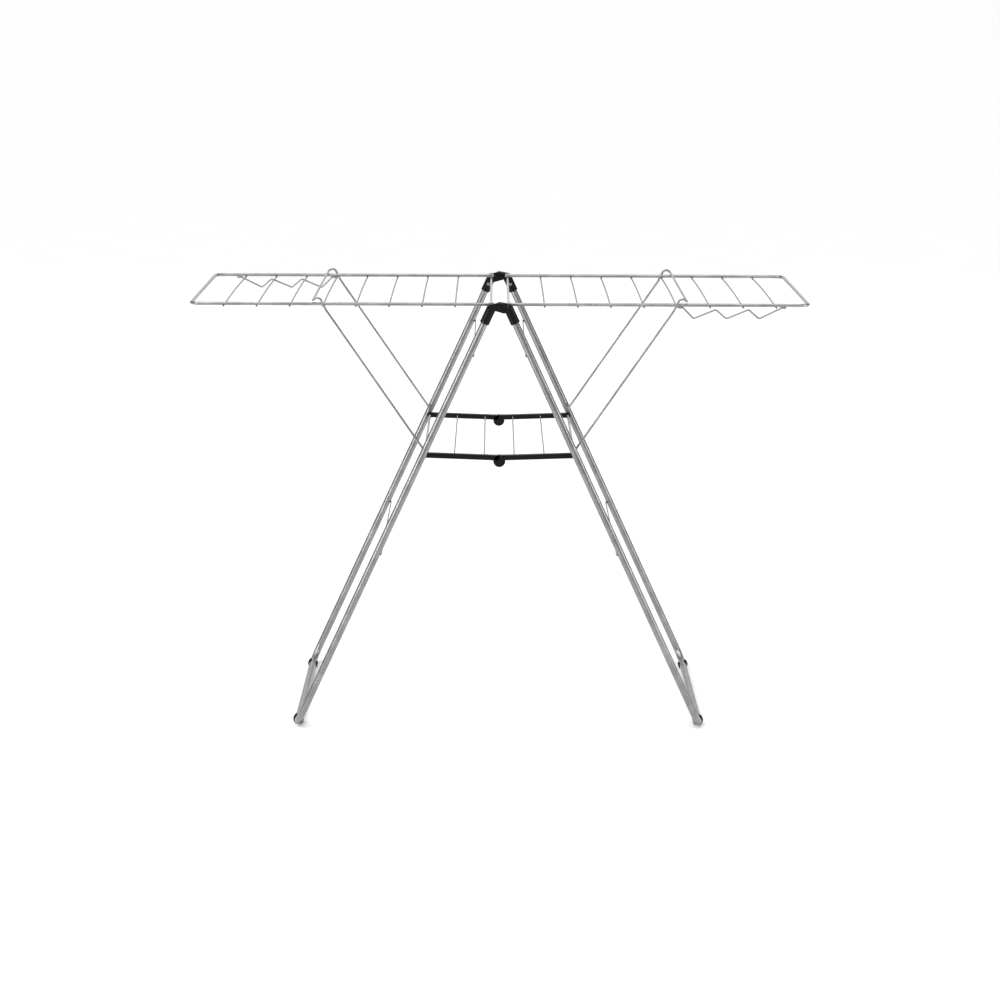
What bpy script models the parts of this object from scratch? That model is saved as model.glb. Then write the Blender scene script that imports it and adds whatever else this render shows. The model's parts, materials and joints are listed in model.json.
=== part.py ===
# Folding winged clothes drying rack.
# Metres, +Z up, X along the wings, Y across the rack; the origin is on the floor under the middle.
# The right half is described once; the left half is the same half turned 180 degrees about Z.

import math

import bmesh
import bpy
from mathutils import Matrix, Vector

# ---- driving dimensions ------------------------------------------------------------------------

# wings
wing_half_length = 0.760      # middle of the rack to the centre of a wing's end tube
rail_half_spread = 0.285      # middle of the rack to the centre of a wing rail
rail_height = 1.0835          # floor to the centre of the rails, wings open
rail_radius = 0.0042
rail_wall = 0.0008
wing_corner_bend = 0.024
rail_end_overhang = 0.0065    # how far a rail runs on past its wing's axle
rung_radius = 0.0017
rung_count = 8
first_rung_x = 0.110
axle_radius = 0.003

# hanger wire under one rail of each wing
hanger_radius = 0.0023
hanger_start_gap = 0.003      # from the caught rung's centre to the wire's inner end
hanger_tail = 0.012           # straight stretch welded under the rail at each end
hanger_end_gap = 0.01275      # from the last rung's centre to the outer tail
hanger_steep_run = 0.026      # the gentle slope takes the rest of a notch
hanger_depth = 0.0345         # rail centre to the lowest wire centre
hanger_rise = 0.0225          # lowest to highest wire centre of one notch
hanger_notches = 3
hanger_bend = 0.006

# legs
leg_lean = math.radians(24.7)
leg_radius = 0.009
leg_wall = 0.001
leg_corner_bend = 0.045
axle_offset = 0.0215          # middle of the rack to a wing's axle
leg_rung_radius = 0.0015
leg_rung_drops = {"upper": 0.1246, "lower": 0.6769}   # below the wing axle, along the leg

# feet
foot_clip_wall = 0.0039
foot_pad_cut = 0.0007         # how much of a clip's round is cut away as its flat pad
foot_clip_width = 0.014
foot_clip_bend_gap = 0.001    # clip to the start of the leg's corner
foot_clip_opening = math.radians(104)

# apex hinges
hinge_rail_gap = 0.0068       # rail to the inner face of the hinge
hub_axle_gap = 0.003          # rim of the hub to the wing axle
sleeve_wall = 0.0027
sleeve_length = 0.040         # wing axle to the sleeve's open end, along the leg
sleeve_edge = 0.005
tube_top_drop = 0.015
axle_bore_depth = 0.008
hinge_pin_radius = 0.003
hinge_pin_head_radius = 0.0052
hinge_pin_head_height = 0.0014
pin_head_taper = 0.7          # outer face of a pin's head, as a share of its rim
sleeve_screw_drop = 0.019
sleeve_screw_radius = 0.0017
sleeve_screw_head_radius = 0.0042
sleeve_screw_head_height = 0.0020
sleeve_screw_length = 0.0062

# struts
strut_radius = 0.0024
strut_rail_gap = 0.0014       # strut's side wires to the rails they pass
strut_pivot_rise = 0.012      # above the shelf rod, along the leg
strut_foot_bend = 0.005
strut_knee_bend = 0.008
strut_crown_bend = 0.011
# places along the hook, outboard of the caught rung and above the rail centre
strut_knee = (-0.0078, -0.0134)
strut_crown = (0.0090, 0.0238)
strut_bar_reach = 0.0240
strut_bar_rest_gap = 0.003    # crossbar above the rails it locks down
caught_rung = 5               # counted from the middle of the rack

# shelf
shelf_rod_radius = 0.003
shelf_rod_height = 0.705
shelf_rod_inset = 0.005       # on the inner side of the leg tubes' centre lines
knuckle_dip = 0.014           # below the shelf rods
knuckle_radius = 0.015
knuckle_pin_radius = 0.0025
knuckle_pin_head_radius = 0.0045
knuckle_pin_head_height = 0.0012
bar_height = 0.0125
bar_width = 0.015
bar_leg_gap = 0.012           # between a bar and the leg tube beside it
bar_edge = 0.0012
bar_neck = 0.006              # length of the neck that carries the knuckle's lap
bar_neck_inset = 0.0004       # the neck's faces below the faces of its bar
bar_lift = 0.0015             # lower edge of a bar above its knuckle pin
shelf_rung_radius = 0.0015
shelf_half_rungs = ("inner", "outer")   # all the shelf's rungs stand evenly between its rods
shelf_rung_lift = 0.0025
shelf_rung_insert = 0.010

# fits
weld_gap = 0.0003             # between faces that touch
running_gap = 0.0003          # around pins, axles and tubes in their bores
swing_gap = 0.0005            # between faces that pass each other
cut_overrun = 0.002           # how far a cutter runs past the face it opens
merge_distance = 0.000001     # points closer than this are one point

# ---- places worked out from the sizes ----------------------------------------------------------

across = Vector((0, 1, 0))
leg_down = Vector((math.sin(leg_lean), 0, -math.cos(leg_lean)))
leg_out = Vector((math.cos(leg_lean), 0, math.sin(leg_lean)))

hinge_height = rail_height - rail_radius - weld_gap - axle_radius
hinge_point = Vector((0, 0, hinge_height))
wing_axle = Vector((axle_offset, 0, hinge_height))
hub_radius = axle_offset - axle_radius - hub_axle_gap
sleeve_radius = leg_radius + running_gap + sleeve_wall
foot_clip_radius = leg_radius + running_gap + foot_clip_wall
foot_height = foot_clip_radius - foot_pad_cut   # floor to the centre of the floor tube
# the eye round a shelf rod stays clear of the rail that folds down past it
bar_eye_radius = shelf_rod_inset + weld_gap + axle_radius - swing_gap

# from the middle of the rack outwards
rail_outer_face = rail_half_spread + rail_radius
strut_y = rail_outer_face + strut_rail_gap + strut_radius
hinge_inner_y = rail_outer_face + hinge_rail_gap
leg_half_spread = hinge_inner_y + sleeve_radius
hinge_outer_y = leg_half_spread + sleeve_radius
lap_y = (hinge_inner_y + hinge_outer_y) / 2
leg_inner_face = leg_half_spread - leg_radius
bar_outer_y = leg_inner_face - bar_leg_gap
bar_inner_y = bar_outer_y - bar_width
bar_lap_y = (bar_inner_y + bar_outer_y) / 2
foot_clip_y = leg_half_spread - leg_corner_bend - foot_clip_bend_gap - foot_clip_width / 2


def leg_point(drop, out=0.0):
    return wing_axle + leg_down * drop + leg_out * out


foot_drop = (hinge_height - foot_height) / math.cos(leg_lean)
rod_drop = (hinge_height - shelf_rod_height - shelf_rod_inset * math.sin(leg_lean)) / math.cos(leg_lean)
strut_pivot = leg_point(rod_drop - strut_pivot_rise)
shelf_rod = leg_point(rod_drop, -shelf_rod_inset)
knuckle = Vector((0, 0, shelf_rod_height - knuckle_dip))
rung_pitch = (wing_half_length - first_rung_x) / rung_count
rung_xs = [first_rung_x + rung_pitch * index for index in range(rung_count)]
caught_x = rung_xs[caught_rung - 1]
shelf_pitch = 2 * shelf_rod.x / (2 * len(shelf_half_rungs) + 1)
shelf_rung_xs = {label: (index + 0.5) * shelf_pitch for index, label in enumerate(shelf_half_rungs)}
half_turn = {"right": 0.0, "left": math.pi}


def end_name(hand, turn):
    # a turned half has its front where the described one has its rear
    return "front" if (hand < 0) == (turn == 0) else "rear"


def y_band(hand, near, far):
    return sorted((hand * near, hand * far))


# ---- finishes ----------------------------------------------------------------------------------

finishes = {
    "grey_tube": ((0.36, 0.36, 0.355, 1.0), 0.38, 0.85),
    "grey_wire": ((0.33, 0.33, 0.325, 1.0), 0.42, 0.80),
    "bright_steel": ((0.62, 0.62, 0.61, 1.0), 0.28, 1.0),
    "black_plastic": ((0.020, 0.020, 0.022, 1.0), 0.42, 0.0),
}


def make_finish(piece_name, finish):
    colour, roughness, metallic = finishes[finish]
    material = bpy.data.materials.new(piece_name + "_" + finish)
    material.use_nodes = True
    shader = material.node_tree.nodes["Principled BSDF"]
    shader.inputs["Base Color"].default_value = colour
    shader.inputs["Roughness"].default_value = roughness
    shader.inputs["Metallic"].default_value = metallic
    material.diffuse_color = colour
    return material


# ---- shaping tools -----------------------------------------------------------------------------

def clear_scene():
    for item in list(bpy.data.objects):
        bpy.data.objects.remove(item, do_unlink=True)


def link_object(name, mesh, origin, turn):
    # the mesh is drawn where it stands in the right half; origin is the point it turns about
    mesh.transform(Matrix.Translation(-Vector(origin)))
    item = bpy.data.objects.new(name, mesh)
    item.location = Matrix.Rotation(turn, 3, "Z") @ Vector(origin)
    item.rotation_euler = (0, 0, turn)
    bpy.context.scene.collection.objects.link(item)
    return item


def add_piece(name, mesh, origin, turn, finish, sharp_angle=35):
    mesh.shade_smooth()
    mesh.set_sharp_from_angle(angle=math.radians(sharp_angle))
    item = link_object(name, mesh, origin, turn)
    item.data.materials.append(make_finish(name, finish))
    return item


def add_tool(name, mesh, turn):
    item = link_object(name, mesh, (0, 0, 0), turn)
    item.hide_render = True
    item.display_type = "WIRE"
    return item


def combine(item, tool, operation):
    step = item.modifiers.new(tool.name, "BOOLEAN")
    step.operation = operation
    step.solver = "EXACT"
    step.object = tool


def add_bevel(item, width, segments):
    step = item.modifiers.new("edges", "BEVEL")
    step.width = width
    step.segments = segments
    step.limit_method = "ANGLE"
    step.angle_limit = math.radians(40)


def mesh_from(shape, name):
    mesh = bpy.data.meshes.new(name)
    bmesh.ops.recalc_face_normals(shape, faces=shape.faces)
    shape.to_mesh(mesh)
    shape.free()
    return mesh


def cylinder(name, start, end, radius, sides=24, end_radius=None):
    # a round bar between two points
    start = Vector(start)
    end = Vector(end)
    shape = bmesh.new()
    bmesh.ops.create_cone(shape, cap_ends=True, segments=sides, radius1=radius,
                          radius2=radius if end_radius is None else end_radius,
                          depth=(end - start).length)
    aim = (end - start).to_track_quat("Z", "Y").to_matrix().to_4x4()
    bmesh.ops.transform(shape, matrix=Matrix.Translation((start + end) / 2) @ aim, verts=shape.verts)
    return mesh_from(shape, name)


def plate(name, outline, y_from, y_to):
    # an outline of (x, z) points pushed along Y
    shape = bmesh.new()
    corners = [shape.verts.new((x, y_from, z)) for x, z in outline]
    face = shape.faces.new(corners)
    pushed = bmesh.ops.extrude_face_region(shape, geom=[face])["geom"]
    moved = [part for part in pushed if isinstance(part, bmesh.types.BMVert)]
    bmesh.ops.translate(shape, verts=moved, vec=(0, y_to - y_from, 0))
    return mesh_from(shape, name)


def arc(centre, radius, from_angle, to_angle, steps):
    # (x, z) points on a circle in the XZ plane
    points = []
    for index in range(steps + 1):
        angle = from_angle + (to_angle - from_angle) * index / steps
        points.append((centre[0] + radius * math.cos(angle), centre[1] + radius * math.sin(angle)))
    return points


def bent_route(corners, bends, steps=6):
    # the corners of a bent tube or wire, each rounded to its bend radius
    route = [Vector(corners[0])]
    for index in range(1, len(corners) - 1):
        corner = Vector(corners[index])
        back = (Vector(corners[index - 1]) - corner).normalized()
        ahead = (Vector(corners[index + 1]) - corner).normalized()
        half_angle = back.angle(ahead) / 2
        setback = bends[index - 1] / math.tan(half_angle)
        centre = corner + (back + ahead).normalized() * bends[index - 1] / math.sin(half_angle)
        start = corner + back * setback - centre
        end = corner + ahead * setback - centre
        sweep = start.angle(end)
        for count in range(steps + 1):
            share = count / steps
            blend = start * math.sin((1 - share) * sweep) + end * math.sin(share * sweep)
            route.append(centre + blend / math.sin(sweep))
    route.append(Vector(corners[-1]))
    return route


def swept(name, route, radius, bevel_resolution, capped=True):
    # a round section carried along the route; bevel_resolution 2 has 8 sides, 4 has 12, 6 has 16
    curve = bpy.data.curves.new(name, "CURVE")
    curve.dimensions = "3D"
    curve.bevel_depth = radius
    curve.bevel_resolution = bevel_resolution
    curve.use_fill_caps = capped
    spline = curve.splines.new("POLY")
    spline.points.add(len(route) - 1)
    for point, place in zip(spline.points, route):
        point.co = (place[0], place[1], place[2], 1)
    guide = bpy.data.objects.new(name + "_route", curve)
    bpy.context.scene.collection.objects.link(guide)
    bpy.context.view_layer.update()
    drawn = bpy.data.meshes.new_from_object(guide.evaluated_get(bpy.context.evaluated_depsgraph_get()))
    bpy.data.objects.remove(guide, do_unlink=True)
    bpy.data.curves.remove(curve)
    shape = bmesh.new()
    shape.from_mesh(drawn)
    bpy.data.meshes.remove(drawn)
    bmesh.ops.remove_doubles(shape, verts=shape.verts, dist=merge_distance)
    return mesh_from(shape, name)


def add_wall(item, thickness):
    step = item.modifiers.new("wall", "SOLIDIFY")
    step.thickness = thickness
    step.offset = -1
    step.use_even_offset = True


# ---- wings -------------------------------------------------------------------------------------

def build_wing(side, turn):
    start_x = axle_offset - rail_end_overhang
    corners = [(start_x, -rail_half_spread, rail_height),
               (wing_half_length, -rail_half_spread, rail_height),
               (wing_half_length, rail_half_spread, rail_height),
               (start_x, rail_half_spread, rail_height)]
    route = bent_route(corners, [wing_corner_bend] * 2)
    frame = add_piece("wing_frame_" + side, swept("wing_frame", route, rail_radius, 5, capped=False),
                      wing_axle, turn, "grey_tube")
    add_wall(frame, rail_wall)

    axle_end = across * (hinge_inner_y + axle_bore_depth - weld_gap)
    add_piece("wing_axle_" + side, cylinder("wing_axle", wing_axle - axle_end, wing_axle + axle_end,
                                            axle_radius, 16),
              wing_axle, turn, "bright_steel")

    rung_z = rail_height - rail_radius - weld_gap - rung_radius
    for index, x in enumerate(rung_xs):
        add_piece("wing_rung_%s_%d" % (side, index + 1),
                  cylinder("wing_rung", (x, -rail_outer_face, rung_z), (x, rail_outer_face, rung_z),
                           rung_radius, 10),
                  wing_axle, turn, "grey_wire")


def build_hanger_wire(side, turn):
    top_z = rail_height - rail_radius - weld_gap - hanger_radius
    low_z = rail_height - hanger_depth
    x = caught_x + hanger_start_gap
    notch_run = (rung_xs[-1] + hanger_end_gap - x - hanger_tail) / hanger_notches
    corners = [(x, top_z), (x + hanger_tail, top_z)]
    x += hanger_tail
    for notch in range(hanger_notches):
        x += hanger_steep_run
        corners.append((x, low_z))
        x += notch_run - hanger_steep_run
        last = notch == hanger_notches - 1
        corners.append((x, top_z if last else low_z + hanger_rise))
    corners.append((x + hanger_tail, top_z))
    corners = [(x, -rail_half_spread, z) for x, z in corners]
    route = bent_route(corners, [hanger_bend] * (len(corners) - 2), 3)
    add_piece("hanger_wire_" + side, swept("hanger_wire", route, hanger_radius, 2),
              wing_axle, turn, "grey_wire")


# ---- legs --------------------------------------------------------------------------------------

def build_leg(side, turn):
    top = leg_point(tube_top_drop)
    foot = leg_point(foot_drop)
    spread = across * leg_half_spread
    route = bent_route([top - spread, foot - spread, foot + spread, top + spread],
                       [leg_corner_bend] * 2, 8)
    frame = add_piece("leg_frame_" + side, swept("leg_frame", route, leg_radius, 6, capped=False),
                      shelf_rod, turn, "grey_tube")
    add_wall(frame, leg_wall)

    bores = {"rod": (shelf_rod, shelf_rod_radius),
             "strut": (strut_pivot, strut_radius),
             "screw": (leg_point(sleeve_screw_drop), sleeve_screw_radius)}
    for label, (centre, radius) in bores.items():
        for hand in (-1, 1):
            start = centre + across * hand * (leg_inner_face - leg_radius)
            end = centre + across * hand * leg_half_spread
            cutter = cylinder("bore", start, end, radius + running_gap, 12)
            combine(frame, add_tool("%s_hole_%s_%d" % (label, side, hand), cutter, turn), "DIFFERENCE")

    for label, drop in leg_rung_drops.items():
        centre = leg_point(drop, -(leg_radius + weld_gap + leg_rung_radius))
        end = across * leg_half_spread
        add_piece("leg_rung_%s_%s" % (label, side),
                  cylinder("leg_rung", centre - end, centre + end, leg_rung_radius, 10),
                  shelf_rod, turn, "grey_wire")

    end = across * (leg_half_spread - weld_gap)
    add_piece("shelf_rod_" + side, cylinder("shelf_rod", shelf_rod - end, shelf_rod + end,
                                            shelf_rod_radius, 16),
              shelf_rod, turn, "bright_steel")
    return frame


def build_foot_clips(side, turn):
    foot = leg_point(foot_drop)
    upward = math.pi / 2 + leg_lean
    start = upward + foot_clip_opening / 2
    end = upward + math.tau - foot_clip_opening / 2
    flat_edge = math.asin(foot_height / foot_clip_radius)
    flat_start = math.pi + flat_edge
    flat_end = math.tau - flat_edge
    centre = (foot.x, foot.z)
    outline = arc(centre, foot_clip_radius, start, flat_start, 7)
    outline += arc(centre, foot_clip_radius, flat_end, end, 9)
    outline += arc(centre, leg_radius + running_gap, end, start, 20)
    for hand in (-1, 1):
        low, high = y_band(hand, foot_clip_y - foot_clip_width / 2, foot_clip_y + foot_clip_width / 2)
        add_piece("foot_clip_%s_%s" % (side, end_name(hand, turn)), plate("foot_clip", outline, low, high),
                  shelf_rod, turn, "black_plastic")


# ---- apex hinges -------------------------------------------------------------------------------

def sleeve_outline():
    # round over the wing axle, then straight down the leg
    across_leg = math.atan2(leg_out.z, leg_out.x)
    outline = arc((wing_axle.x, wing_axle.z), sleeve_radius, across_leg + math.pi, across_leg, 14)
    low = leg_point(sleeve_length)
    side_step = leg_out * sleeve_radius
    outline.append((low.x + side_step.x, low.z + side_step.z))
    outline.append((low.x - side_step.x, low.z - side_step.z))
    return outline


def build_hinge_half(side, turn, hand):
    # the front half of the right leg laps inside, its rear half laps outside
    outside = hand > 0
    tag = "%s_%s" % (side, end_name(hand, turn))
    low, high = y_band(hand, hinge_inner_y, hinge_outer_y)
    half = add_piece("hinge_half_" + tag, plate("hinge_half", sleeve_outline(), low, high), shelf_rod, turn,
                     "black_plastic")
    add_bevel(half, sleeve_edge, 3)

    own = (lap_y + swing_gap / 2, hinge_outer_y) if outside else (hinge_inner_y, lap_y - swing_gap / 2)
    other = (hinge_inner_y, lap_y + swing_gap / 2) if outside else (lap_y - swing_gap / 2, hinge_outer_y)
    clearance = cylinder("lap", hinge_point + across * hand * (other[0] - (cut_overrun if outside else 0)),
                         hinge_point + across * hand * (other[1] + (0 if outside else cut_overrun)),
                         hub_radius + swing_gap, 32)
    combine(half, add_tool("lap_clearance_" + tag, clearance, turn), "DIFFERENCE")
    hub = cylinder("hub", hinge_point + across * hand * own[0], hinge_point + across * hand * own[1],
                   hub_radius, 32)
    combine(half, add_tool("hub_" + tag, hub, turn), "UNION")

    tube_bore = cylinder("tube_bore", leg_point(tube_top_drop - weld_gap) + across * hand * leg_half_spread,
                         leg_point(sleeve_length + cut_overrun) + across * hand * leg_half_spread,
                         leg_radius + running_gap, 20)
    combine(half, add_tool("tube_bore_" + tag, tube_bore, turn), "DIFFERENCE")
    axle_bore = cylinder("axle_bore", wing_axle + across * hand * (hinge_inner_y - cut_overrun),
                         wing_axle + across * hand * (hinge_inner_y + axle_bore_depth),
                         axle_radius + running_gap, 16)
    combine(half, add_tool("axle_bore_" + tag, axle_bore, turn), "DIFFERENCE")
    screw_place = leg_point(sleeve_screw_drop)
    screw_bore = cylinder("screw_bore", screw_place + across * hand * (hinge_inner_y - cut_overrun),
                          screw_place + across * hand * (hinge_inner_y + sleeve_screw_length),
                          sleeve_screw_radius + running_gap, 12)
    combine(half, add_tool("screw_bore_" + tag, screw_bore, turn), "DIFFERENCE")
    build_sleeve_screw(tag, turn, hand)
    if outside:
        pin_bore = cylinder("pin_bore", hinge_point + across * hand * (lap_y - cut_overrun),
                            hinge_point + across * hand * (hinge_outer_y + cut_overrun),
                            hinge_pin_radius + running_gap, 16)
        combine(half, add_tool("pin_bore_" + tag, pin_bore, turn), "DIFFERENCE")
        build_hinge_pin(tag, turn, hand)


def build_hinge_pin(tag, turn, hand):
    # a headed pin that stays inside the outer lap
    shank_start = lap_y + swing_gap / 2 + weld_gap
    shank_end = hinge_outer_y + weld_gap
    profile = [(hinge_pin_radius, 0.0),
               (hinge_pin_radius, shank_end - shank_start),
               (hinge_pin_head_radius, shank_end - shank_start),
               (hinge_pin_head_radius * pin_head_taper, shank_end - shank_start + hinge_pin_head_height)]
    add_piece("hinge_pin_" + tag,
              stepped_pin(hinge_point + across * hand * shank_start, across * hand, profile, 16),
              shelf_rod, turn, "black_plastic")


def build_sleeve_screw(tag, turn, hand):
    # a screw through the sleeve's inner wall that keeps the tube in its sleeve
    start = leg_point(sleeve_screw_drop) + across * hand * (hinge_inner_y - weld_gap
                                                            - sleeve_screw_head_height)
    profile = [(sleeve_screw_head_radius * pin_head_taper, 0.0),
               (sleeve_screw_head_radius, sleeve_screw_head_height / 2),
               (sleeve_screw_head_radius, sleeve_screw_head_height),
               (sleeve_screw_radius, sleeve_screw_head_height),
               (sleeve_screw_radius, sleeve_screw_head_height + sleeve_screw_length)]
    add_piece("sleeve_screw_" + tag, stepped_pin(start, across * hand, profile, 14), shelf_rod, turn,
              "bright_steel")


def stepped_pin(start, direction, profile, sides):
    # a turned pin: (radius, distance) steps along its axis from the start
    shape = bmesh.new()
    rim = [shape.verts.new((radius, 0, distance)) for radius, distance in profile]
    edges = [shape.edges.new(pair) for pair in zip(rim, rim[1:])]
    bmesh.ops.spin(shape, geom=rim + edges, cent=(0, 0, 0), axis=(0, 0, 1), angle=math.tau,
                   steps=sides, use_merge=True)
    bmesh.ops.holes_fill(shape, edges=shape.edges, sides=0)
    aim = Vector(direction).to_track_quat("Z", "Y").to_matrix().to_4x4()
    bmesh.ops.transform(shape, matrix=Matrix.Translation(start) @ aim, verts=shape.verts)
    return mesh_from(shape, "stepped_pin")


# ---- struts ------------------------------------------------------------------------------------

def build_strut(side, turn):
    bar_z = rail_height + rail_radius + strut_bar_rest_gap + strut_radius
    half = [(strut_pivot.x, leg_inner_face + leg_radius - weld_gap, strut_pivot.z),
            (strut_pivot.x, strut_y, strut_pivot.z),
            (caught_x + strut_knee[0], strut_y, rail_height + strut_knee[1]),
            (caught_x + strut_crown[0], strut_y, rail_height + strut_crown[1]),
            (caught_x + strut_bar_reach, strut_y, bar_z)]
    corners = [(x, -y, z) for x, y, z in half] + list(reversed(half))
    bends = [strut_foot_bend, strut_knee_bend, strut_crown_bend, strut_foot_bend]
    route = bent_route(corners, bends + list(reversed(bends)), 4)
    add_piece("strut_" + side, swept("strut", route, strut_radius, 2), strut_pivot, turn, "grey_wire")


# ---- shelf -------------------------------------------------------------------------------------

def bar_frame():
    # the bar's middle line runs from its rod to a point just over its knuckle pin
    end = Vector((knuckle.x, 0, knuckle.z + bar_lift + bar_height / 2))
    outward = (shelf_rod - end).normalized()
    up = Vector((-outward.z, 0, outward.x))
    return end, outward, up


def bar_point(distance, lift):
    end, outward, up = bar_frame()
    return end + outward * distance + up * lift


def bar_outline():
    # the bar's straight edges run out to the eye round its rod
    end, outward, up = bar_frame()
    half_height = bar_height / 2
    up_angle = math.atan2(up.z, up.x)
    beyond = math.acos(half_height / bar_eye_radius)
    top, bottom = bar_point(0, half_height), bar_point(0, -half_height)
    eye = arc((shelf_rod.x, shelf_rod.z), bar_eye_radius, up_angle + beyond, up_angle - math.pi - beyond, 14)
    return [(top.x, top.z)] + eye + [(bottom.x, bottom.z)]


def neck_outline():
    # a short stretch of the bar, to carry the lap on its knuckle
    half_height = bar_height / 2 - bar_neck_inset
    length = knuckle_radius + bar_neck
    corners = [bar_point(0, half_height), bar_point(length, half_height),
               bar_point(length, -half_height), bar_point(0, -half_height)]
    return [(corner.x, corner.z) for corner in corners]


def shelf_rung_centre(x):
    end, outward, up = bar_frame()
    return bar_point(x / outward.x, shelf_rung_lift)


def build_shelf_half(side, turn):
    origin = shelf_rod if side == "left" else knuckle
    for hand in (-1, 1):
        outside = hand > 0
        tag = "%s_%s" % (side, end_name(hand, turn))
        low, high = y_band(hand, bar_inner_y, bar_outer_y)
        bar = add_piece("shelf_bar_" + tag, plate("shelf_bar", bar_outline(), low, high), origin, turn,
                        "black_plastic")
        add_bevel(bar, bar_edge, 2)
        own = (bar_lap_y + swing_gap / 2, bar_outer_y) if outside else (bar_inner_y, bar_lap_y - swing_gap / 2)
        inside_cut = across * hand * (bar_inner_y - cut_overrun)
        outside_cut = across * hand * (bar_outer_y + cut_overrun)
        clearance = cylinder("full_lap", knuckle + inside_cut, knuckle + outside_cut,
                             knuckle_radius + swing_gap, 28)
        combine(bar, add_tool("lap_clearance_bar_" + tag, clearance, turn), "DIFFERENCE")
        neck_low, neck_high = y_band(hand, own[0] + bar_neck_inset, own[1] - bar_neck_inset)
        neck = plate("neck", neck_outline(), neck_low, neck_high)
        combine(bar, add_tool("neck_" + tag, neck, turn), "UNION")
        disc = cylinder("disc", knuckle + across * hand * own[0], knuckle + across * hand * own[1],
                        knuckle_radius, 28)
        combine(bar, add_tool("disc_" + tag, disc, turn), "UNION")
        rod_bore = cylinder("rod_bore", shelf_rod + inside_cut, shelf_rod + outside_cut,
                            shelf_rod_radius + running_gap, 16)
        combine(bar, add_tool("rod_bore_" + tag, rod_bore, turn), "DIFFERENCE")
        pin_bore = cylinder("pin_bore", knuckle + inside_cut, knuckle + outside_cut,
                            knuckle_pin_radius + running_gap, 14)
        combine(bar, add_tool("knuckle_bore_" + tag, pin_bore, turn), "DIFFERENCE")
        for label, x in shelf_rung_xs.items():
            centre = shelf_rung_centre(x)
            socket = cylinder("socket", centre + inside_cut,
                              centre + across * hand * (bar_inner_y + shelf_rung_insert),
                              shelf_rung_radius + running_gap, 10)
            combine(bar, add_tool("socket_%s_%s" % (label, tag), socket, turn), "DIFFERENCE")
        if side == "left":
            build_knuckle_pin(turn, hand, origin)

    for label, x in shelf_rung_xs.items():
        centre = shelf_rung_centre(x)
        reach = across * (bar_inner_y + shelf_rung_insert - weld_gap)
        add_piece("shelf_rung_%s_%s" % (label, side),
                  cylinder("shelf_rung", centre - reach, centre + reach, shelf_rung_radius, 10),
                  origin, turn, "grey_wire")


def build_knuckle_pin(turn, hand, origin):
    inner = bar_inner_y - weld_gap
    outer = bar_outer_y + weld_gap
    profile = [(knuckle_pin_head_radius * pin_head_taper, 0.0),
               (knuckle_pin_head_radius, knuckle_pin_head_height),
               (knuckle_pin_radius, knuckle_pin_head_height),
               (knuckle_pin_radius, knuckle_pin_head_height + outer - inner),
               (knuckle_pin_head_radius, knuckle_pin_head_height + outer - inner),
               (knuckle_pin_head_radius * pin_head_taper, 2 * knuckle_pin_head_height + outer - inner)]
    start = knuckle + across * hand * (inner - knuckle_pin_head_height)
    add_piece("knuckle_pin_" + end_name(hand, turn), stepped_pin(start, across * hand, profile, 14), origin,
              turn, "black_plastic")


# ---- the rack ----------------------------------------------------------------------------------

def build_rack():
    clear_scene()
    for side, turn in half_turn.items():
        build_leg(side, turn)
        build_foot_clips(side, turn)
        for hand in (-1, 1):
            build_hinge_half(side, turn, hand)
        build_wing(side, turn)
        build_hanger_wire(side, turn)
        build_strut(side, turn)
        build_shelf_half(side, turn)
    bpy.context.view_layer.update()


build_rack()
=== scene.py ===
import json
import math

import bmesh
import bpy
from mathutils import Matrix, Vector


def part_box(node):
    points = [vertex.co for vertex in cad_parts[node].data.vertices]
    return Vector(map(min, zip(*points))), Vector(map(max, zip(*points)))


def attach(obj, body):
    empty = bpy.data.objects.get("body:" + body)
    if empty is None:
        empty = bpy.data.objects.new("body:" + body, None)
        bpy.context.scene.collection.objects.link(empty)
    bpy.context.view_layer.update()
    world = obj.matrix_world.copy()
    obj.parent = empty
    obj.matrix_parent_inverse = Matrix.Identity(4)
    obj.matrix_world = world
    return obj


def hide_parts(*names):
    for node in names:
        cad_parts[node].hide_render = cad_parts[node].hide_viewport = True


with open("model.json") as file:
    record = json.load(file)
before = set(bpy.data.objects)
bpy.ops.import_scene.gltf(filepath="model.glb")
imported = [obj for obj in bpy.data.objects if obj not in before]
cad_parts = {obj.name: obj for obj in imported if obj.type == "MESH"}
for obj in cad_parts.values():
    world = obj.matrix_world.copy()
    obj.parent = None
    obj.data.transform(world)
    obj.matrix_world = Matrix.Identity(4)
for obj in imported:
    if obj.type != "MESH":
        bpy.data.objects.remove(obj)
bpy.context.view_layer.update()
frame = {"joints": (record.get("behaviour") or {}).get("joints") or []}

# Folding winged drying rack. The right half is shaped, and the left half is the same half turned
# 180 degrees about Z, so a front end on the right is a rear end on the left.

print("rack: reading the frame")

acrossRack = Vector((0, 1, 0))
halfTurn = Matrix.Rotation(math.pi, 4, "Z")
jointPlace = {joint["name"]: Vector(joint["pos_m"]) for joint in frame["joints"]}
wingAxlePlace = jointPlace["wing_right_fold"]
shelfRodPlace = jointPlace["leg_right_fold"]
strutPlace = jointPlace["strut_right_fold"]
knucklePlace = jointPlace["knuckle_fold"]
apexPlace = Vector((0, 0, wingAxlePlace.z))


def middleOf(node):
    low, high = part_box(node)
    return (low + high) / 2


def sizeOf(node):
    low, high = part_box(node)
    return high - low


# ---- shader maths ----

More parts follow.
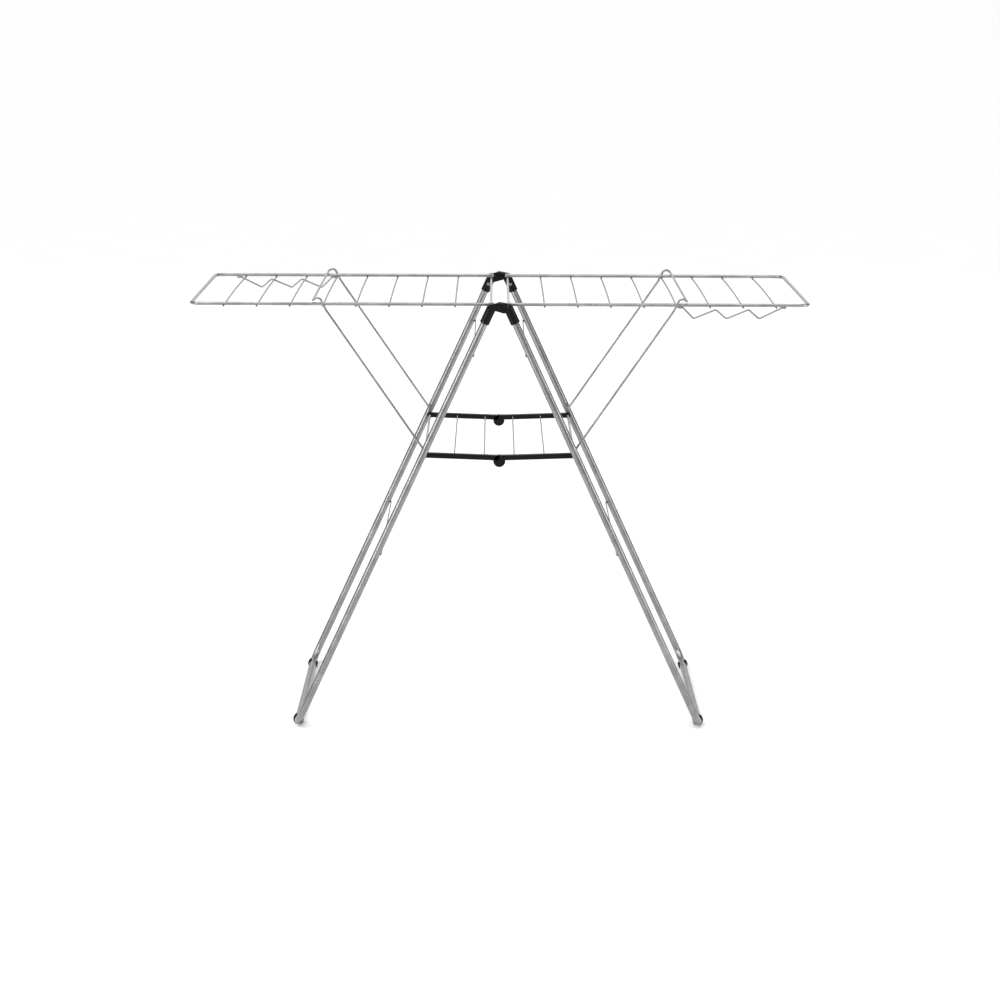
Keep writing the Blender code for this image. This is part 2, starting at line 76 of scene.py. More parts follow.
class Wire:
    # a node's socket that can stand in a sum; each sum adds its Math nodes

    def __init__(self, tree, socket=None):
        self.tree = tree
        self.socket = socket

    def node(self, kind, settings=None, inputs=None, out=0):
        made = self.tree.nodes.new("ShaderNode" + kind)
        for key, value in (settings or {}).items():
            if key == "stops":
                for stop, (place, colour) in zip(made.color_ramp.elements, value):
                    stop.position, stop.color = place, colour
            else:
                setattr(made, key, value)
        for key, value in (inputs or {}).items():
            if isinstance(value, Wire):
                self.tree.links.new(value.socket, made.inputs[key])
            else:
                made.inputs[key].default_value = value
        return Wire(self.tree, made.outputs[out])

    def maths(self, operation, first, second):
        return self.node("Math", {"operation": operation}, {0: first, 1: second})

    def __add__(self, other):
        return self.maths("ADD", self, other)

    def __sub__(self, other):
        return self.maths("SUBTRACT", self, other)

    def __rsub__(self, other):
        return self.maths("SUBTRACT", other, self)

    def __mul__(self, other):
        return self.maths("MULTIPLY", self, other)

    __radd__ = __add__
    __rmul__ = __mul__

    def blend(self, first, second):
        # first where this is 0, second where it is 1
        return self.node("Mix", {"data_type": "RGBA"}, {0: self, 6: first, 7: second}, 2)

    def band(self, low, high):
        # 0 below low, 1 above high
        return self.node("MapRange", {"interpolation_type": "SMOOTHSTEP"}, {0: self, 1: low, 2: high})

    def noise(self, scale, detail=2.0, rough=0.5):
        return self.node("TexNoise", None, {"Vector": self, "Scale": scale, "Detail": detail, "Roughness": rough})

    def stretched(self, turn, scale):
        return self.node("Mapping", {"vector_type": "POINT"}, {0: self, 2: turn, 3: scale})

    def part(self, axis):
        return self.node("SeparateXYZ", None, {0: self}, axis)


def newFinish(name):
    material = bpy.data.materials.new(name)
    material.use_nodes = True
    tree = material.node_tree
    shader = tree.nodes["Principled BSDF"]
    place = Wire(tree).node("TexCoord", None, None, 3)
    return material, tree, shader, place


def joinShader(tree, shader, links):
    for socket, wire in links.items():
        tree.links.new(wire.socket, shader.inputs[socket])


def shade(level, warm=0.0):
    return (level * (1 + warm), level, level * (1 - warm), 1.0)


# ---- finishes ----

paint = dict(level=0.33, dull=0.23, metal=0.88, rough=0.25, cloud=26, fleck=950, peel=420,
             drawn=260, drawnLength=5, dust=0.42)


def greyPaint(name, run=(0, 0, 0), level=1.0):
    # satin silver-grey paint on drawn tube; run turns the draw lines to the tube's direction
    material, tree, shader, place = newFinish(name)
    cloud = place.noise(paint["cloud"], 4.0, 0.55)
    fleck = place.noise(paint["fleck"], 2.0, 0.7).band(0.50, 0.72)
    lines = place.stretched(run, (paint["drawnLength"], paint["drawn"], paint["drawn"])).noise(1.0, 3.0)
    ground = cloud.band(0.30, 0.70).blend(shade(paint["dull"] * level), shade(paint["level"] * level))
    tone = (fleck * 0.35).blend(ground, shade(paint["dust"] * level))
    tone = (lines.band(0.35, 0.75) * 0.30).blend(tone, shade(paint["dull"] * level * 0.75))
    rough = paint["rough"] + cloud * 0.10 + lines * 0.08 - fleck * 0.05
    peel = place.noise(paint["peel"], 2.0)
    bump = Wire(tree).node("Bump", None, {"Strength": 0.10, "Distance": 0.0004,
                                          "Height": peel * 0.7 + lines * 0.3})
    shader.inputs["Metallic"].default_value = paint["metal"]
    shader.inputs["Coat Roughness"].default_value = 0.22
    shader.inputs["Coat Weight"].default_value = 0.25
    joinShader(tree, shader, {"Base Color": tone, "Roughness": rough, "Normal": bump})
    return material


zinc = dict(level=0.50, dull=0.36, rough=0.22, lines=520, lineLength=14, bloom=60)


def brightZinc(name, level=1.0):
    # zinc plate on turned rod: fine lines along the rack's depth and a cloudy bloom
    material, tree, shader, place = newFinish(name)
    lines = place.stretched((0, 0, 0), (zinc["lines"], zinc["lineLength"], zinc["lines"])).noise(1.0, 3.0)
    bloom = place.noise(zinc["bloom"], 5.0, 0.6)
    tone = bloom.band(0.35, 0.75).blend(shade(zinc["level"] * level, 0.01), shade(zinc["dull"] * level, 0.02))
    rough = zinc["rough"] + bloom * 0.16 + lines * 0.10
    bump = Wire(tree).node("Bump", None, {"Strength": 0.15, "Distance": 0.0002, "Height": lines})
    shader.inputs["Metallic"].default_value = 1.0
    joinShader(tree, shader, {"Base Color": tone, "Roughness": rough, "Normal": bump})
    return material


plastic = dict(level=0.0022, worn=0.0050, rough=0.34, grain=1500, flow=38, gloss=0.16)


def blackPlastic(name):
    # moulded black plastic: spark-eroded grain, faint flow marks, paler rubbed patches
    material, tree, shader, place = newFinish(name)
    grain = place.noise(plastic["grain"], 3.0, 0.65)
    flow = place.stretched((0, 0, 0), (1.0, 0.35, 1.0)).noise(plastic["flow"], 4.0, 0.6)
    rubbed = flow.band(0.52, 0.78)
    tone = (rubbed * 0.55).blend(shade(plastic["level"], -0.03), shade(plastic["worn"], -0.02))
    rough = plastic["rough"] + grain * 0.12 - rubbed * 0.07
    bump = Wire(tree).node("Bump", None, {"Strength": 0.22, "Distance": 0.0002, "Height": grain})
    shader.inputs["Specular IOR Level"].default_value = plastic["gloss"]
    joinShader(tree, shader, {"Base Color": tone, "Roughness": rough, "Normal": bump})
    return material


def weldMetal(name):
    # painted-over weld beads: darker, lumpier, scorched in spots
    material, tree, shader, place = newFinish(name)
    lumps = place.noise(900, 4.0, 0.7)
    scorch = place.noise(160, 3.0).band(0.45, 0.7)
    tone = (scorch * 0.7).blend(shade(0.24), shade(0.13, 0.05))
    rough = 0.42 + lumps * 0.22
    bump = Wire(tree).node("Bump", None, {"Strength": 0.45, "Distance": 0.0004, "Height": lumps})
    shader.inputs["Metallic"].default_value = 0.75
    joinShader(tree, shader, {"Base Color": tone, "Roughness": rough, "Normal": bump})
    return material


finishes = {
    "railPaint": (greyPaint("railPaint"), "grey_tube"),
    "legPaint": (greyPaint("legPaint", (0, math.radians(65), 0), 0.92), "grey_tube"),
    # the wires' copy of the grey paint is darkened to about a third: painted shade that holds back the back panel's
    # reflection on the wires running along the rack's depth
    "shadedWirePaint": (greyPaint("shadedWirePaint", (0, 0, math.radians(90)), 0.36), "grey_wire"),
    "strutPaint": (greyPaint("strutPaint", (0, math.radians(55), 0), 0.9), "grey_wire"),
    "zincRod": (brightZinc("zincRod"), "bright_steel"),
    "screwZinc": (brightZinc("screwZinc", 0.55), "bright_steel"),
    "mouldedBlack": (blackPlastic("mouldedBlack"), "black_plastic"),
    "weldBead": (weldMetal("weldBead"), "grey_wire"),
}


# ---- making and placing pieces ----

def settle(shape, name, finish, body, nodes=(), side="right", sharp=38):
    # turns a left piece round, closes the mesh up and hangs it on its body
    if side == "left":
        bmesh.ops.transform(shape, matrix=halfTurn, verts=shape.verts)
    bmesh.ops.remove_doubles(shape, verts=shape.verts, dist=0.000002)
    bmesh.ops.recalc_face_normals(shape, faces=shape.faces)
    mesh = bpy.data.meshes.new(name)
    shape.to_mesh(mesh)
    shape.free()
    mesh.shade_smooth()
    mesh.set_sharp_from_angle(angle=math.radians(sharp))
    piece = bpy.data.objects.new(name, mesh)
    bpy.context.scene.collection.objects.link(piece)
    material, slotName = finishes[finish]
    mesh.materials.append(material)
    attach(piece, body)
    if nodes:
        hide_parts(*nodes)
    return piece


def endName(side, hand):
    return "front" if (hand < 0) == (side == "right") else "rear"


def ringEdges(geometry):
    return [part for part in geometry if isinstance(part, bmesh.types.BMEdge)]


def ringVerts(edges):
    return list({vert for edge in edges for vert in edge.verts})


def startRing(shape, place, direction, radius, sides):
    turn = Vector(direction).to_track_quat("Z", "Y").to_matrix().to_4x4()
    made = bmesh.ops.create_circle(shape, segments=sides, radius=radius,
                                   matrix=Matrix.Translation(place) @ turn)
    return list({edge for vert in made["verts"] for edge in vert.link_edges})


def pushRing(shape, ring, step, size=1.0):
    # carries the open ring on by one straight step
    made = bmesh.ops.extrude_edge_only(shape, edges=ring)["geom"]
    ahead = [edge for edge in ringEdges(made) if all(vert in made for vert in edge.verts)]
    verts = ringVerts(ahead)
    bmesh.ops.translate(shape, verts=verts, vec=step)
    if size != 1.0:
        centre = sum((vert.co for vert in verts), Vector()) / len(verts)
        bmesh.ops.scale(shape, verts=verts, vec=(size, size, size), space=Matrix.Translation(-centre))
    return ahead


def turnRing(shape, ring, centre, axis, angle, steps):
    # carries the open ring round a bend
    made = bmesh.ops.spin(shape, geom=ringVerts(ring) + ring, cent=centre, axis=axis, angle=angle,
                          steps=steps, use_merge=False)
    return ringEdges(made["geom_last"])


def capRing(shape, ring, step):
    # a rounded end: two shrinking steps, then a flat face
    ring = pushRing(shape, ring, step * 0.6, 0.90)
    ring = pushRing(shape, ring, step * 0.4, 0.72)
    bmesh.ops.holes_fill(shape, edges=ring, sides=0)


def bentBar(corners, bends, radius, sides, steps=12):
    # a round bar or closed-ended tube along straight runs and round bends
    shape = bmesh.new()
    corners = [Vector(corner) for corner in corners]
    direction = (corners[1] - corners[0]).normalized()
    cap = radius * 0.35
    here = corners[0] + direction * cap
    ring = startRing(shape, here, direction, radius, sides)
    first = ring
    for index in range(1, len(corners) - 1):
        before = (corners[index] - corners[index - 1]).normalized()
        after = (corners[index + 1] - corners[index]).normalized()
        angle = before.angle(after)
        setback = bends[index - 1] * math.tan(angle / 2)
        bendStart = corners[index] - before * setback
        axis = before.cross(after).normalized()
        ring = pushRing(shape, ring, bendStart - here)
        ring = turnRing(shape, ring, bendStart + axis.cross(before) * bends[index - 1], axis, angle,
                        max(3, round(steps * angle / (math.pi / 2))))
        here = corners[index] + after * setback
    direction = (corners[-1] - corners[-2]).normalized()
    ring = pushRing(shape, ring, corners[-1] - direction * cap - here)
    capRing(shape, ring, direction * cap)
    capRing(shape, first, (corners[0] - corners[1]).normalized() * cap)
    return shape


def turned(place, direction, profile, sides):
    # a turned piece: (radius, distance) points spun round its axis, closed at both ends
    shape = bmesh.new()
    rim = [shape.verts.new((radius, 0, distance)) for radius, distance in profile]
    edges = [shape.edges.new(pair) for pair in zip(rim, rim[1:])]
    bmesh.ops.spin(shape, geom=rim + edges, cent=(0, 0, 0), axis=(0, 0, 1), angle=math.tau,
                   steps=sides, use_merge=True)
    bmesh.ops.holes_fill(shape, edges=shape.edges, sides=0)
    turn = Vector(direction).to_track_quat("Z", "Y").to_matrix().to_4x4()
    bmesh.ops.transform(shape, matrix=Matrix.Translation(place) @ turn, verts=shape.verts)
    return shape


def block(outline, yFrom, yTo, edge=0.0, segments=3):
    # an (x, z) outline pushed through along Y, with rounded edges
    shape = bmesh.new()
    face = shape.faces.new([shape.verts.new((x, yFrom, z)) for x, z in outline])
    pushed = bmesh.ops.extrude_face_region(shape, geom=[face])["geom"]
    moved = [part for part in pushed if isinstance(part, bmesh.types.BMVert)]
    bmesh.ops.translate(shape, verts=moved, vec=(0, yTo - yFrom, 0))
    bmesh.ops.recalc_face_normals(shape, faces=shape.faces)
    if edge:
        rims = [part for part in shape.edges if part.calc_face_angle(0) > math.radians(40)]
        roundEdges(shape, rims, edge, segments)
    return shape


def roundEdges(shape, edges, width, segments=3):
    bmesh.ops.bevel(shape, geom=edges, offset=width, offset_type="OFFSET", affect="EDGES",
                    segments=segments, profile=0.5, material=-1, clamp_overlap=True)


def arcPoints(centre, radius, fromAngle, toAngle, steps):
    return [(centre[0] + radius * math.cos(fromAngle + (toAngle - fromAngle) * step / steps),
             centre[1] + radius * math.sin(fromAngle + (toAngle - fromAngle) * step / steps))
            for step in range(steps + 1)]


def addTo(shape, extra):
    # joins a second closed shape into the first as a separate shell
    mesh = bpy.data.meshes.new("extra")
    bmesh.ops.recalc_face_normals(extra, faces=extra.faces)
    extra.to_mesh(mesh)
    extra.free()
    shape.from_mesh(mesh)
    bpy.data.meshes.remove(mesh)
    return shape


def cut(shape, tool, operation="DIFFERENCE"):
    # one exact boolean between two closed shapes; the result is a new shape
    holders = []
    for name, source in (("work", shape), ("tool", tool)):
        bmesh.ops.recalc_face_normals(source, faces=source.faces)
        mesh = bpy.data.meshes.new(name)
        source.to_mesh(mesh)
        source.free()
        holders.append(bpy.data.objects.new(name, mesh))
        bpy.context.scene.collection.objects.link(holders[-1])
    step = holders[0].modifiers.new("cut", "BOOLEAN")
    step.operation = operation
    step.solver = "EXACT"
    step.object = holders[1]
    bpy.context.view_layer.update()
    drawn = bpy.data.meshes.new_from_object(holders[0].evaluated_get(bpy.context.evaluated_depsgraph_get()))
    result = bmesh.new()
    result.from_mesh(drawn)
    bpy.data.meshes.remove(drawn)
    for holder in holders:
        mesh = holder.data
        bpy.data.objects.remove(holder, do_unlink=True)
        bpy.data.meshes.remove(mesh)
    return result


bead = dict(rings=6, sides=10)


def weldBead(shape, place, size):
    # a small squashed lump where a wire meets a tube
    extra = bmesh.new()
    bmesh.ops.create_uvsphere(extra, u_segments=bead["sides"], v_segments=bead["rings"], radius=1.0)
    bmesh.ops.scale(extra, verts=extra.verts, vec=size)
    bmesh.ops.translate(extra, verts=extra.verts, vec=place)
    addTo(shape, extra)


# ---- legs ----

print("rack: legs and feet")

leg = dict(radius=0.009, cornerBend=0.045, sides=40, steps=16, topDrop=0.015,
           rungFlat=0.62, bushRadius=0.0052, bushDepth=0.0016)
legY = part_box("leg_frame_right")[1].y - leg["radius"]
footPlace = Vector((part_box("leg_frame_right")[1].x - leg["radius"], 0,
                    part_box("leg_frame_right")[0].z + leg["radius"]))
legDown = (footPlace - wingAxlePlace).normalized()
legOut = Vector((-legDown.z, 0, legDown.x))


def legTube():
    spread = acrossRack * legY
    top = wingAxlePlace + legDown * leg["topDrop"]
    return bentBar([top - spread, footPlace - spread, footPlace + spread, top + spread],
                   [leg["cornerBend"]] * 2, leg["radius"], leg["sides"], leg["steps"])


def punchedCollars():
    # the pressed lips round the holes that take the shelf rod and the strut's feet
    shape = bmesh.new()
    inner = legY - leg["radius"]
    for hand in (-1, 1):
        for place, hole in ((shelfRodPlace, 0.0033), (strutPlace, 0.0027)):
            wide = hole + 0.0016
            profile = [(hole, 0.0012), (hole, 0.0), (wide - 0.0005, 0.0), (wide, 0.0004), (wide, 0.0012)]
            start = Vector((place.x, hand * (inner - 0.0004), place.z))
            addTo(shape, turned(start, acrossRack * hand, profile, 20))
    return shape


def pressedWire(place, halfLength, radius, flatLength, flat, towards):
    # a straight wire along Y whose two ends are pressed flat against the tube they are welded to
    shape = bmesh.new()
    stations = [(halfLength - flatLength * share, squeeze)
                for share, squeeze in ((0.0, flat), (0.7, flat), (0.85, (1 + flat) / 2), (1.0, 1.0))]
    stops = [(-y, squeeze) for y, squeeze in stations] + [(y, squeeze) for y, squeeze in reversed(stations)]
    ring = startRing(shape, Vector((place.x, -halfLength, place.z)), acrossRack, radius, 14)
    first = ring
    rings = [(ring, stops[0][1])]
    for (y, squeeze), (before, _) in zip(stops[1:], stops):
        ring = pushRing(shape, ring, acrossRack * (y - before))
        rings.append((ring, squeeze))
    turn = Vector(towards).to_track_quat("Z", "Y").to_matrix().to_4x4()
    for ring, squeeze in rings:
        verts = ringVerts(ring)
        centre = sum((vert.co for vert in verts), Vector()) / len(verts)
        space = turn.inverted() @ Matrix.Translation(-centre)
        bmesh.ops.scale(shape, verts=verts, vec=(1 / math.sqrt(squeeze), 1.0, squeeze), space=space)
    bmesh.ops.holes_fill(shape, edges=ring + first, sides=0)
    return shape


legRung = dict(radius=0.0015, flatLength=0.020, beadSize=(0.0016, 0.0042, 0.0016))


def legWelds():
    shape = bmesh.new()
    for level in ("upper", "lower"):
        place = middleOf("leg_rung_%s_right" % level)
        for hand in (-1, 1):
            for along in (-1, 1):
                spot = place + acrossRack * hand * (legY - 0.001) + legDown * along * 0.0016
                weldBead(shape, spot + legOut * 0.0009, legRung["beadSize"])
    return shape


shelfRod = dict(radius=0.003, chamfer=0.0006)


def roundRod(place, halfLength, radius, chamfer, sides=24):
    profile = [(radius - chamfer, 0.0), (radius, chamfer), (radius, 2 * halfLength - chamfer),
               (radius - chamfer, 2 * halfLength)]
    return turned(place - acrossRack * halfLength, acrossRack, profile, sides)


footClip = dict(radius=0.0132, opening=math.radians(104), lip=0.0012, edge=0.0007, rib=0.0009,
                ribCount=3, inner=0.0093)


def footClipShape(hand):
    # a C-shaped clip with rolled lips and a flat pad on the floor
    node = "foot_clip_right_" + endName("right", hand)
    low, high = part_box(node)
    centre = (footPlace.x, footPlace.z)
    upward = math.pi - math.atan2(legOut.x, legOut.z)
    start = upward + footClip["opening"] / 2
    end = upward + math.tau - footClip["opening"] / 2
    flat = math.asin(footPlace.z / footClip["radius"])
    outline = arcPoints(centre, footClip["radius"], start, math.pi + flat, 16)
    outline += arcPoints(centre, footClip["radius"], math.tau - flat, end, 20)
    outline += arcPoints(centre, footClip["inner"], end, start, 48)
    shape = block(outline, low.y, high.y, footClip["edge"])
    for angle in (start, end):
        middle = (footClip["radius"] + footClip["inner"]) / 2 - 0.0001
        place = Vector((centre[0] + middle * math.cos(angle), low.y + 0.0004,
                        centre[1] + middle * math.sin(angle)))
        lip = (footClip["radius"] - footClip["inner"]) / 2
        length = high.y - low.y - 0.0008
        addTo(shape, turned(place, acrossRack, [(lip * 0.8, 0.0), (lip, 0.0005), (lip, length - 0.0005),
                                                (lip * 0.8, length)], 18))
    return shape


for side in ("right", "left"):
    body = "leg_" + side
    settle(legTube(), "legTube_" + side, "legPaint", body, ["leg_frame_" + side], side)
    settle(punchedCollars(), "punchedCollars_" + side, "legPaint", body, (), side)
    for level in ("upper", "lower"):
        node = "leg_rung_%s_right" % level
        settle(pressedWire(middleOf(node), sizeOf(node).y / 2, legRung["radius"], legRung["flatLength"],
                           leg["rungFlat"], legOut), "legCrossWire_%s_%s" % (level, side), "shadedWirePaint",
               body, ["leg_rung_%s_%s" % (level, side)], side)
    settle(legWelds(), "legWelds_" + side, "weldBead", body, (), side)
    settle(roundRod(shelfRodPlace, sizeOf("shelf_rod_right").y / 2, shelfRod["radius"], shelfRod["chamfer"]),
           "shelfRod_" + side, "zincRod", body, ["shelf_rod_" + side], side)
    for hand in (-1, 1):
        end = endName(side, hand)
        settle(footClipShape(hand), "footClip_%s_%s" % (side, end), "mouldedBlack", body,
               ["foot_clip_%s_%s" % (side, end)], side)


# ---- hinges at the top ----

print("rack: top hinges")

sleeve = dict(radius=0.01185, length=0.040, collar=0.0005, collarLength=0.0045, armRadius=0.0112,
              hubRadius=0.0155, edge=0.0016, gap=0.0005, underDrop=0.008, underSlope=0.29,
              dishRadius=0.0066, tubeRoom=0.0093, sides=48)
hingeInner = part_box("hinge_half_right_front")[1].y * -1
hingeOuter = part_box("hinge_half_right_front")[0].y * -1
lapY = (hingeInner + hingeOuter) / 2


def sleeveBody(hand):
    # a round socket on the leg's top end, domed above and collared at its mouth
    start = wingAxlePlace + acrossRack * hand * legY
    radius = sleeve["radius"]
    dome = [(radius * math.sin(math.radians(a)), -radius * math.cos(math.radians(a)))
            for a in range(10, 100, 10)]
    collar = radius + sleeve["collar"] * 0.3
    mouth = [(radius, sleeve["length"] - sleeve["collarLength"]),
             (collar, sleeve["length"] - sleeve["collarLength"] + 0.0006),
             (collar, sleeve["length"] - 0.0008),
             (radius - 0.0006, sleeve["length"]),
             (sleeve["tubeRoom"] + 0.0003, sleeve["length"]),
             (sleeve["tubeRoom"], sleeve["length"] - 0.0006),
             (sleeve["tubeRoom"], leg["topDrop"] - 0.0005)]
    return turned(start, legDown, dome + mouth, sleeve["sides"])


def tangentHull(first, firstRadius, second, secondRadius, steps):
    # the outline of a belt round two circles in the XZ plane
    dx, dz = second[0] - first[0], second[1] - first[1]
    distance = math.hypot(dx, dz)
    aim = math.atan2(dz, dx)
    lean = math.acos((firstRadius - secondRadius) / distance)
    return (arcPoints(first, firstRadius, aim + lean, aim + math.tau - lean, steps)
            + arcPoints(second, secondRadius, aim - lean, aim + lean, steps))


def trimmed(outline, line):
    # keeps the part of an outline above a line that runs right to left
    (x0, z0), (x1, z1) = line
    slope = (z1 - z0) / (x1 - x0)
    kept = []
    for here, after in zip(outline, outline[1:] + outline[:1]):
        a = here[1] - z0 - slope * (here[0] - x0)
        b = after[1] - z0 - slope * (after[0] - x0)
        if a >= 0:
            kept.append(here)
        if (a >= 0) != (b >= 0):
            share = a / (a - b)
            kept.append((here[0] + (after[0] - here[0]) * share, here[1] + (after[1] - here[1]) * share))
    return kept


def hingeHalf(hand):
    # sleeve, arm and round lap; the rear half laps outside and the front half inside
    outside = hand > 0
    low, high = (lapY + sleeve["gap"] / 2, hingeOuter) if outside else (hingeInner, lapY - sleeve["gap"] / 2)
    otherLow, otherHigh = (hingeInner - 0.002, lapY + sleeve["gap"] / 2) if outside else \
        (lapY - sleeve["gap"] / 2, hingeOuter + 0.002)
    socket = sleeveBody(hand)
    clearance = turned(apexPlace + acrossRack * hand * otherLow, acrossRack * hand,
                       [(sleeve["hubRadius"] + sleeve["gap"], 0.0),
                        (sleeve["hubRadius"] + sleeve["gap"], otherHigh - otherLow)], 48)
    socket = cut(socket, clearance)
    outline = tangentHull((wingAxlePlace.x, wingAxlePlace.z), sleeve["armRadius"], (0.0, apexPlace.z),
                          sleeve["hubRadius"], 24)
    # the underside of both laps is one slanting flat when the rack stands open
    under = [(x, apexPlace.z - sleeve["underDrop"] + hand * sleeve["underSlope"] * x) for x in (0.05, -0.05)]
    arm = block(trimmed(outline, under), hand * low, hand * high, sleeve["edge"])
    tubeRoom = turned(wingAxlePlace + legDown * (leg["topDrop"] - 0.0005) + acrossRack * hand * legY, legDown,
                      [(sleeve["tubeRoom"], 0.0), (sleeve["tubeRoom"], sleeve["length"])], 40)
    arm = cut(arm, tubeRoom)
    shape = cut(socket, arm, "UNION")
    axleBore = turned(wingAxlePlace + acrossRack * hand * (hingeInner - 0.004), acrossRack * hand,
                      [(0.0033, 0.0), (0.0033, 0.012)], 24)
    shape = cut(shape, axleBore)
    if outside:
        # a shallow dish for the pin's head
        dish = turned(apexPlace + acrossRack * hand * (hingeOuter - 0.0011), acrossRack * hand,
                      [(sleeve["dishRadius"], 0.0), (sleeve["dishRadius"], 0.004)], 40)
        shape = cut(shape, dish)
    return shape


pin = dict(radius=0.003, head=0.0052, height=0.0014, dome=5)


def hingePin(hand):
    start = lapY + sleeve["gap"] / 2 + 0.0003
    length = hingeOuter + 0.0003 - start - 0.0011
    rise = [(pin["head"] * math.cos(math.radians(a)), length + 0.0006 + pin["height"] * math.sin(math.radians(a)))
            for a in (0, 18, 36, 54, 72, 84)]
    profile = [(pin["radius"] - 0.0004, 0.0), (pin["radius"], 0.0004), (pin["radius"], length),
               (pin["head"] - 0.0003, length), (pin["head"], length + 0.0003)] + rise[1:]
    return turned(apexPlace + acrossRack * hand * start, acrossRack * hand, profile, 32)


screw = dict(radius=0.0017, head=0.0042, rise=0.0020, length=0.0062, slotWidth=0.0011, slotDepth=0.0012)


def sleeveScrew(hand):
    # pan head with a crossed recess
    centre = middleOf("sleeve_screw_right_" + endName("right", hand))
    inner = hingeInner - 0.0003
    rise = [(screw["head"] * math.cos(math.radians(a)), screw["rise"] * math.sin(math.radians(a)))
            for a in (0, 20, 40, 60, 78)]
    profile = [(screw["radius"] * 0.5, -screw["length"]), (screw["radius"], -screw["length"] + 0.0012),
               (screw["radius"], 0.0), (screw["head"] - 0.0002, 0.0)] + rise[1:]
    head = turned(Vector((centre.x, hand * inner, centre.z)), acrossRack * -hand, profile, 32)
    for turn in (0, 90):
        slot = bmesh.new()
        bmesh.ops.create_cube(slot, size=1.0)
        bmesh.ops.scale(slot, verts=slot.verts, vec=(screw["head"] * 1.15, 0.004, screw["slotWidth"]))
        bmesh.ops.rotate(slot, verts=slot.verts, cent=(0, 0, 0),
                         matrix=Matrix.Rotation(math.radians(turn + 20), 3, "Y"))
        bmesh.ops.translate(slot, verts=slot.verts,
                            vec=(centre.x, hand * (inner - screw["rise"] + screw["slotDepth"] - 0.002), centre.z))
        head = cut(head, slot)
    return head


for side in ("right", "left"):
    body = "leg_" + side
    for hand in (-1, 1):
        end = endName(side, hand)
        settle(hingeHalf(hand), "hingeSleeve_%s_%s" % (side, end), "mouldedBlack", body,
               ["hinge_half_%s_%s" % (side, end)], side, 32)
        settle(sleeveScrew(hand), "sleeveScrew_%s_%s" % (side, end), "screwZinc", body,
               ["sleeve_screw_%s_%s" % (side, end)], side, 32)
        if hand > 0:
            settle(hingePin(hand), "hingePin_%s_%s" % (side, end), "mouldedBlack", body,
                   ["hinge_pin_%s_%s" % (side, end)], side, 50)


# ---- wings ----

print("rack: wings")

rail = dict(radius=0.0042, bend=0.024, sides=28, steps=14, squeezeLength=0.014, squeezeFlat=0.60,
            squeezeTall=1.18)
wingLow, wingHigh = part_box("wing_frame_right")
railY = wingHigh.y - rail["radius"]
railZ = wingHigh.z - rail["radius"]
endTubeX = wingHigh.x - rail["radius"]


def wingTube():
    # the bent rail; its inner ends are pressed flat where they sit on the axle
    shape = bentBar([(wingLow.x, -railY, railZ), (endTubeX, -railY, railZ),
                     (endTubeX, railY, railZ), (wingLow.x, railY, railZ)],
                    [rail["bend"]] * 2, rail["radius"], rail["sides"], rail["steps"])
    for share in (0.7, 1.0):
        x = wingLow.x + rail["squeezeLength"] * share
        bmesh.ops.bisect_plane(shape, geom=shape.verts[:] + shape.edges[:] + shape.faces[:],
                               dist=0.000001, plane_co=(x, 0, 0), plane_no=(1, 0, 0))
    for hand in (-1, 1):
        pressed = [vert for vert in shape.verts
                   if vert.co.y * hand > 0 and vert.co.x < wingLow.x + rail["squeezeLength"] * 0.75]
        space = Matrix.Translation((0, -hand * railY, rail["radius"] - railZ))
        bmesh.ops.scale(shape, verts=pressed, vec=(1.0, rail["squeezeFlat"], rail["squeezeTall"]), space=space)
    return shape


wireRung = dict(radius=0.0020, bow=0.004, stations=16, sides=12, flat=0.85)


def wingRung(number):
    # a wire bowed up between the rails, straight and pressed flat under each of them
    low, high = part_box("wing_rung_right_%d" % number)
    x = (low.x + high.x) / 2
    z = low.z + wireRung["radius"]
    inner = railY - rail["radius"]
    places = [(-high.y, 0.0, wireRung["flat"]), (-inner - 0.001, 0.0, wireRung["flat"]), (-inner + 0.002, 0.0, 1.0)]
    for station in range(1, wireRung["stations"]):
        share = 2 * station / wireRung["stations"] - 1
        places.append((share * inner, wireRung["bow"] * (1 - share ** 2), 1.0))
    places += [(inner - 0.002, 0.0, 1.0), (inner + 0.001, 0.0, wireRung["flat"]), (high.y, 0.0, wireRung["flat"])]
    shape = bmesh.new()
    ring = startRing(shape, Vector((x, places[0][0], z)), acrossRack, wireRung["radius"], wireRung["sides"])
    first = ring
    rings = [ring]
    for before, here in zip(places, places[1:]):
        ring = pushRing(shape, ring, (0, here[0] - before[0], here[1] - before[1]))
        rings.append(ring)
    for ring, (y, lift, flat) in zip(rings, places):
        space = Matrix.Translation((-x, 0, -(z + wireRung["radius"])))
        if flat < 1:
            bmesh.ops.scale(shape, verts=ringVerts(ring), vec=(1 / math.sqrt(flat), 1.0, flat), space=space)
    bmesh.ops.holes_fill(shape, edges=first + ring, sides=0)
    return shape


def wingWelds():
    # beads beside each wire under the rails, at the hanger wire's tails and on the axle
    shape = bmesh.new()
    under = railZ - rail["radius"]
    for number in range(1, 9):
        x = middleOf("wing_rung_right_%d" % number).x
        for hand in (-1, 1):
            for along in (-1, 1):
                weldBead(shape, (x + along * 0.0012, hand * railY, under), (0.0008, 0.0028, 0.0006))
    low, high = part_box("hanger_wire_right")
    for x in (low.x + 0.004, low.x + 0.009, high.x - 0.009, high.x - 0.004):
        for hand in (-1, 1):
            weldBead(shape, (x, -railY + hand * 0.0014, under), (0.0028, 0.0012, 0.0010))
    for hand in (-1, 1):
        for along in (-1, 1):
            weldBead(shape, (wingAxlePlace.x + along * 0.0026, hand * railY, under + 0.0001),
                     (0.0018, 0.0030, 0.0011))
    return shape


hanger = dict(radius=0.0023, bend=0.006, sides=16, tail=0.012, steepShare=0.3230, rise=0.0225, notches=3)


